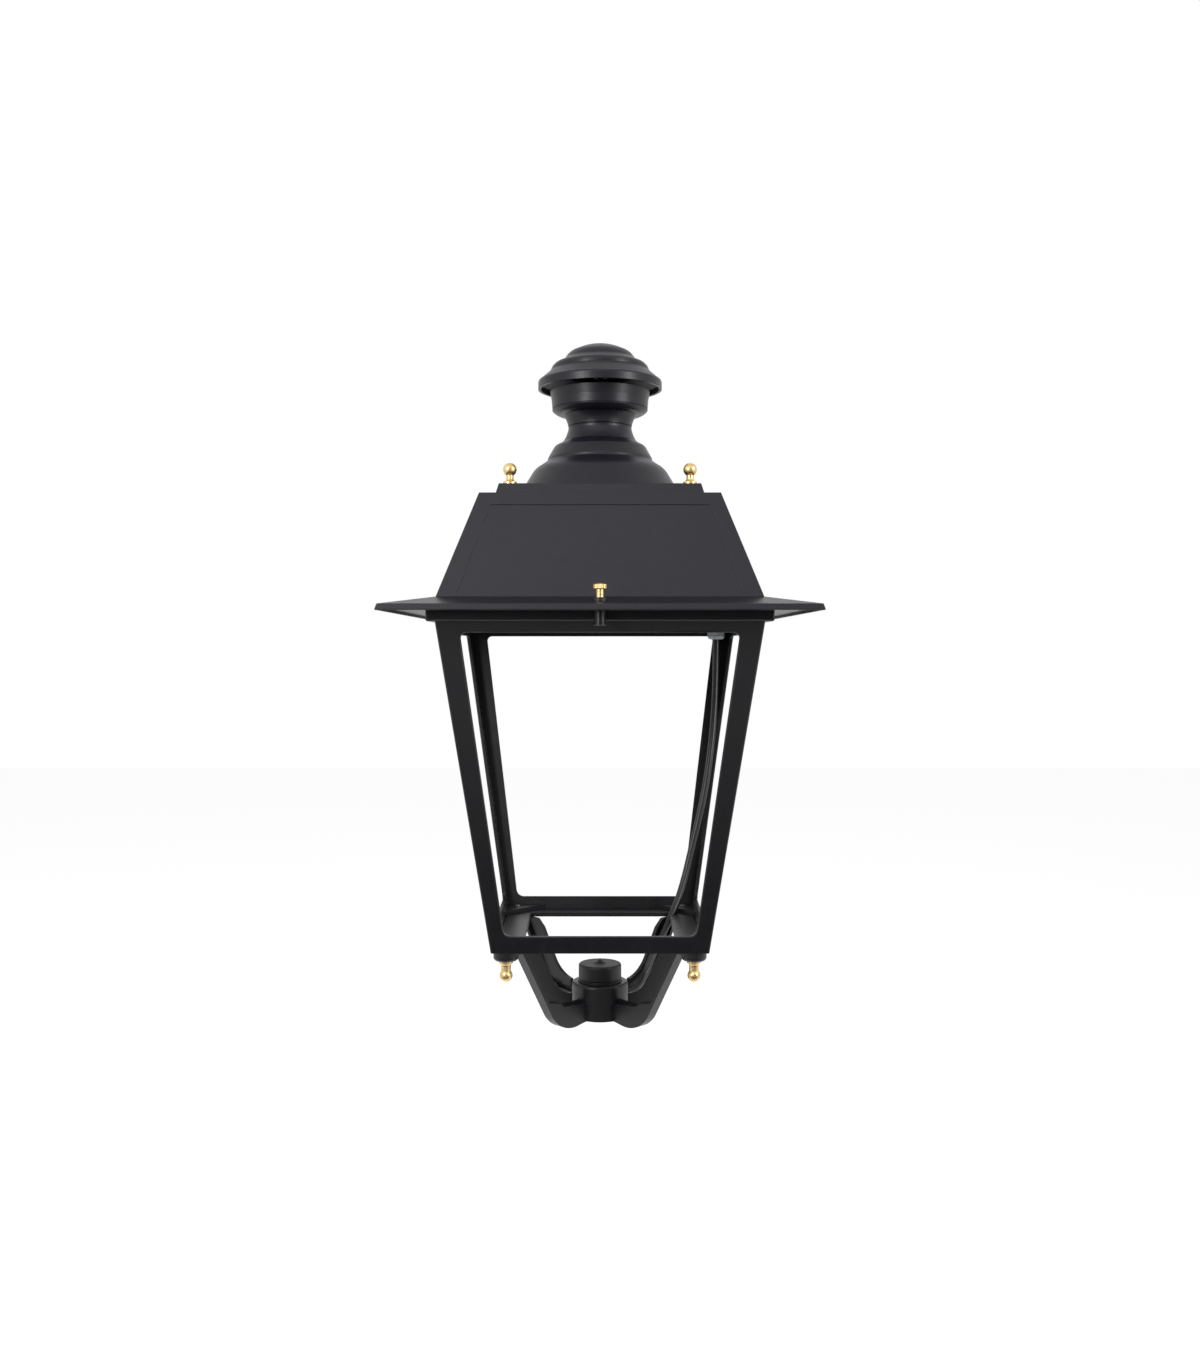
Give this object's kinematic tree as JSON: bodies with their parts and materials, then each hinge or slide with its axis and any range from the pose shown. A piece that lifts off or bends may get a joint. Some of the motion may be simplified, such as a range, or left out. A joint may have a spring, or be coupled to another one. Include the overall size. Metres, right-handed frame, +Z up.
{
  "type": "post top lantern",
  "caption": "Square open post top lantern with a hinged hipped roof, chimney, brass ball nuts, tapered cage and curved yoke on a threaded hub.",
  "frame": {"origin": "on the axis of the hub's threaded socket, at its mouth in the hub's underside", "axes": "+Z up along the lantern's axis, -Y to the front where the thumbscrew is, +Y to the hinges"},
  "size_m": [0.4254, 0.4254, 0.7409],
  "materials": {
    "cage_paint": "satin black powder coat with a fine grain",
    "roof_paint": "satin black powder coat, seen under more light",
    "polished_brass": "polished and lacquered",
    "zinc_steel": "zinc plated",
    "cap_plastic": "moulded, low gloss",
    "washer_plastic": "moulded",
    "tray_steel": "galvanised sheet",
    "sink_aluminium": "extruded and bead blasted",
    "board_white": "white solder mask",
    "led_phosphor": "phosphor under silicone",
    "lens_acrylic": "clear moulded acrylic",
    "optic_glass": "flat toughened glass",
    "seal_rubber": "cellular rubber",
    "driver_plastic": "moulded case",
    "terminal_plastic": "moulded",
    "gland_plastic": "moulded light grey nylon",
    "cable_rubber": "smooth round sheath"
  },
  "bodies": {
    "frame": {"frame_casting": "cage_paint", "crown_ring": "cage_paint", "base_plate": "cage_paint", "base_screws": "zinc_steel", "yoke_studs": "zinc_steel", "yoke_ball_nuts": "polished_brass", "yoke_casting": "cage_paint", "hub_cap": "cap_plastic", "hub_lock_screws": "zinc_steel", "gear_tray": "tray_steel", "tray_screws": "zinc_steel", "led_heatsink": "sink_aluminium", "led_board": "board_white", "led_chips": "led_phosphor", "lens_array": "lens_acrylic", "optic_glass": "optic_glass", "optic_gasket": "seal_rubber", "optic_bezel": "cage_paint", "bezel_screws": "zinc_steel", "led_driver": "driver_plastic", "driver_screws": "zinc_steel", "surge_protector": "driver_plastic", "terminal_block": "terminal_plastic", "gland_body": "gland_plastic", "gland_dome_nut": "gland_plastic", "gland_locknut": "gland_plastic", "roof_gasket": "seal_rubber", "hinge_pins": "zinc_steel", "supply_cable": "cable_rubber", "led_lead": "cable_rubber"},
    "roof": {"roof_shell": "roof_paint", "hinge_leaves": "cage_paint", "leaf_screws": "zinc_steel", "screw_grommet": "washer_plastic", "chimney_base": "roof_paint", "chimney_cup": "roof_paint", "chimney_hat": "roof_paint", "chimney_rod": "zinc_steel", "chimney_rod_nuts": "zinc_steel", "chimney_washer": "zinc_steel", "roof_studs": "zinc_steel", "roof_stud_nuts": "zinc_steel", "roof_ball_nuts": "polished_brass"},
    "screw_ring": {"retaining_ring": "zinc_steel"},
    "thumbscrew": {"thumbscrew": "polished_brass"}
  },
  "joints": [
    {"name": "roof_hinge", "type": "hinge", "parent": "frame", "child": "roof", "pos_m": [0, 0.181, 0.438], "axis": [-1, 0, 0], "range_deg": [0, 100]},
    {"name": "thumbscrew_lift", "type": "slide", "parent": "roof", "child": "screw_ring", "axis": [0, 0, 1], "range_m": [0, 0.0072]},
    {"name": "thumbscrew_turn", "type": "hinge", "parent": "screw_ring", "child": "thumbscrew", "pos_m": [0, -0.188, 0.455], "axis": [0, 0, 1], "range_deg": [0, 2070]}
  ],
  "couplings": [
    {"joint": "thumbscrew_lift", "follows": "thumbscrew_turn", "m_per_rad": 0.00019894}
  ]
}
